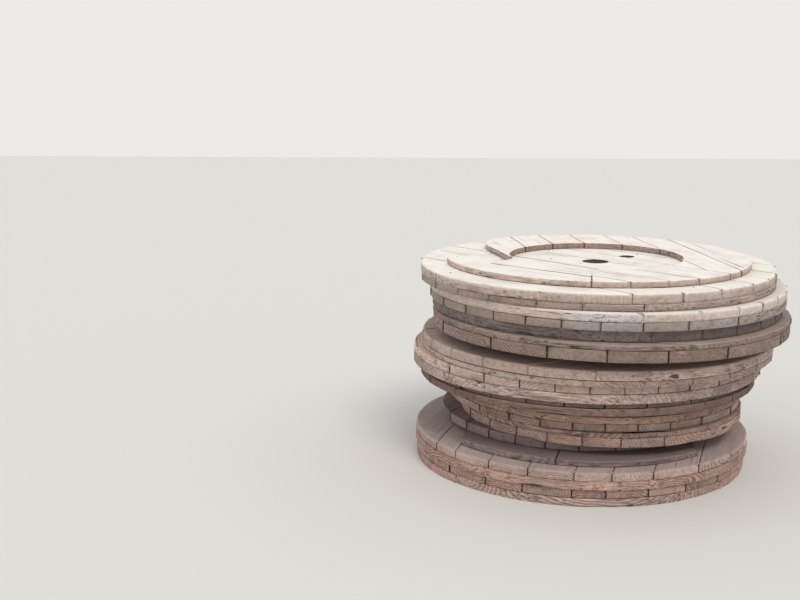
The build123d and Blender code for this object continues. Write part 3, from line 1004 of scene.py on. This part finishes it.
def made_light():
    """Soft light from all round, a pale backdrop for the camera and a broad sun."""
    scene = bpy.context.scene
    world = bpy.data.worlds.new("pale_sky")
    scene.world = world
    add = partial(add_node, emptied(world))
    rays = add("ShaderNodeLightPath").node.outputs
    seen = rays["Is Camera Ray"]
    for title in ("Is Glossy Ray", "Is Transmission Ray"):
        seen = add(MATHS, "MAXIMUM", seen, rays[title])
    light = add("ShaderNodeBackground", Color=(0.94, 0.97, 1.0, 1), Strength=0.82)
    shown = add("ShaderNodeBackground", Color=linear("#ecebe9"), Strength=1.0)
    both = add("ShaderNodeMixShader", i0=seen, i1=light, i2=shown)
    add("ShaderNodeOutputWorld", Surface=both)
    # a hazy sun over the right shoulder, and a paler one low from the left
    for name, strength, spread_degrees, colour, turn in (
        ("hazy_sun", 1.05, 24, (1.0, 0.96, 0.9), (34, 16, 0)),
        ("low_haze", 0.4, 50, (1.0, 0.95, 0.9), (79, 0, -62)),
    ):
        sun = bpy.data.lights.new(name, "SUN")
        sun.energy = strength
        sun.angle = math.radians(spread_degrees)
        sun.color = colour
        linked(name, sun).rotation_euler = Euler([math.radians(degrees) for degrees in turn])


def made_camera():
    """The camera at the photograph's viewing angle, fitted to the flanges' rims."""
    camera = bpy.data.cameras.new("camera")
    camera.sensor_width = 36
    camera.lens = 54.64
    camera.clip_end = 100
    view = linked("camera", camera)
    view.location = (-0.7936, -4.8034, 1.5585)
    turn = Euler((math.radians(79.03), 0, 0)).to_matrix() @ Euler((0, 0, math.radians(0.26))).to_matrix()
    view.rotation_euler = turn.to_euler()
    bpy.context.scene.camera = view


# Operators, in the order in which they run


class STACK_OT_finishes(bpy.types.Operator):
    """Make the stack's woods and the nails' rust"""

    bl_idname = "stack.finishes"
    bl_label = "Woods and rust"

    def execute(self, context):
        colours = context.scene.stack_colours
        for name, pine in PINES.items():
            FINISHES[name] = wood_material(name, (*getattr(colours, name), 1.0), pine)
        FINISHES["rust"] = rust_material()
        return {"FINISHED"}


class STACK_OT_plies(bpy.types.Operator):
    """Lay the weathered planks of every ply over the frame"""

    bl_idname = "stack.plies"
    bl_label = "Plies of planks"

    def execute(self, context):
        for node in LOOKS:
            if node.endswith("planks"):
                made_planks(node)
        return {"FINISHED"}


class STACK_OT_rings(bpy.types.Operator):
    """Lay the planks of the barrel rings that show"""

    bl_idname = "stack.rings"
    bl_label = "Barrel rings"

    def execute(self, context):
        for node in LOOKS:
            if node.endswith("ring"):
                made_planks(node)
        return {"FINISHED"}


class STACK_OT_hidden_rings(bpy.types.Operator):
    """Lay plain boards for the rings that the stack hides"""

    bl_idname = "stack.hidden_rings"
    bl_label = "Hidden rings"

    def execute(self, context):
        # painted shade: boards that show only in a shadow gap are given the darkest finish
        tree = board_tree(FINISHES["dark"])
        for node in sorted(frame["nodes"]):
            if node.endswith("hidden_ring"):
                made_hidden_ring(node, tree)
        return {"FINISHED"}


class STACK_OT_nails(bpy.types.Operator):
    """Drive the nails that show on the upper faces"""

    bl_idname = "stack.nails"
    bl_label = "Nails"

    def execute(self, context):
        tree = nail_tree(FINISHES["rust"])
        for node in NAILED:
            made_nails(node, tree)
        return {"FINISHED"}


class STACK_OT_stage(bpy.types.Operator):
    """Set the floor, the light and the camera"""

    bl_idname = "stack.stage"
    bl_label = "Floor, light and camera"

    def execute(self, context):
        context.scene.view_settings.view_transform = "Standard"
        made_floor()
        made_light()
        made_camera()
        return {"FINISHED"}


OPERATORS = (
    STACK_OT_finishes,
    STACK_OT_plies,
    STACK_OT_rings,
    STACK_OT_hidden_rings,
    STACK_OT_nails,
    STACK_OT_stage,
)


class STACK_PT_panel(bpy.types.Panel):
    """Lists the stack's sizes, colours and pieces"""

    bl_label = "Drum flanges"
    bl_space_type = "VIEW_3D"
    bl_region_type = "UI"
    bl_category = "Drum flanges"

    def draw(self, context):
        for group in (context.scene.stack_sizes, context.scene.stack_colours):
            for name in group.bl_rna.properties.keys():
                if name not in ("rna_type", "name"):
                    self.layout.prop(group, name)
        for operator in OPERATORS:
            self.layout.operator(operator.bl_idname)


CLASSES = (StackSizes, StackColours, *OPERATORS, STACK_PT_panel)


def register():
    for cls in CLASSES:
        bpy.utils.register_class(cls)
    bpy.types.Scene.stack_sizes = bpy.props.PointerProperty(type=StackSizes)
    bpy.types.Scene.stack_colours = bpy.props.PointerProperty(type=StackColours)


def unregister():
    del bpy.types.Scene.stack_colours
    del bpy.types.Scene.stack_sizes
    for cls in reversed(CLASSES):
        bpy.utils.unregister_class(cls)


def main():
    register()
    for operator in OPERATORS:
        group, name = operator.bl_idname.split(".")
        getattr(getattr(bpy.ops, group), name)()


if __name__ == "__main__":
    main()
